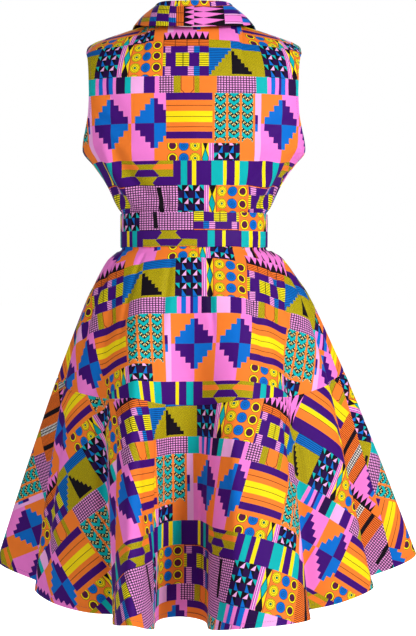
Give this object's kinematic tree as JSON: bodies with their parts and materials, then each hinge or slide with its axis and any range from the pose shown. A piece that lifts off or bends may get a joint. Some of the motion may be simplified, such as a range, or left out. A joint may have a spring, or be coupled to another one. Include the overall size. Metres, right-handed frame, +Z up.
{
  "type": "sleeveless shirt dress",
  "caption": "Sleeveless dress with a shirt collar, buttoned front, wide tie belt and full fluted skirt, shaped as worn.",
  "frame": {"origin": "on the centre plane, level with the neck points and above the shoulder ridge, where the garment hangs from the wearer", "axes": "+Z up, front faces -Y, wearer's left is +X"},
  "size_m": [0.8212, 0.6097, 1.1271],
  "materials": {
    "back_cloth": "printed cotton, patchwork of purple, orange, pink and teal blocks",
    "front_cloth": "printed cotton, patchwork of purple, orange, pink and teal blocks",
    "collar_cloth": "printed cotton, firm",
    "belt_cloth": "printed cotton, doubled",
    "skirt_cloth": "printed cotton, patchwork of purple, orange, pink and teal blocks",
    "button": "smooth, dark"
  },
  "bodies": {
    "root": {"bodice_back": "back_cloth", "bodice_front_left": "front_cloth", "bodice_front_right": "front_cloth", "collar_stand": "collar_cloth", "collar_fall": "collar_cloth", "belt_band": "belt_cloth", "belt_knot": "belt_cloth", "belt_tail_left": "belt_cloth", "belt_tail_right": "belt_cloth", "skirt_upper_back": "skirt_cloth", "skirt_lower_back": "skirt_cloth", "skirt_upper_front": "skirt_cloth", "skirt_lower_front": "skirt_cloth", "button_1": "button", "button_2": "button", "button_3": "button", "button_4": "button"}
  },
  "joints": []
}
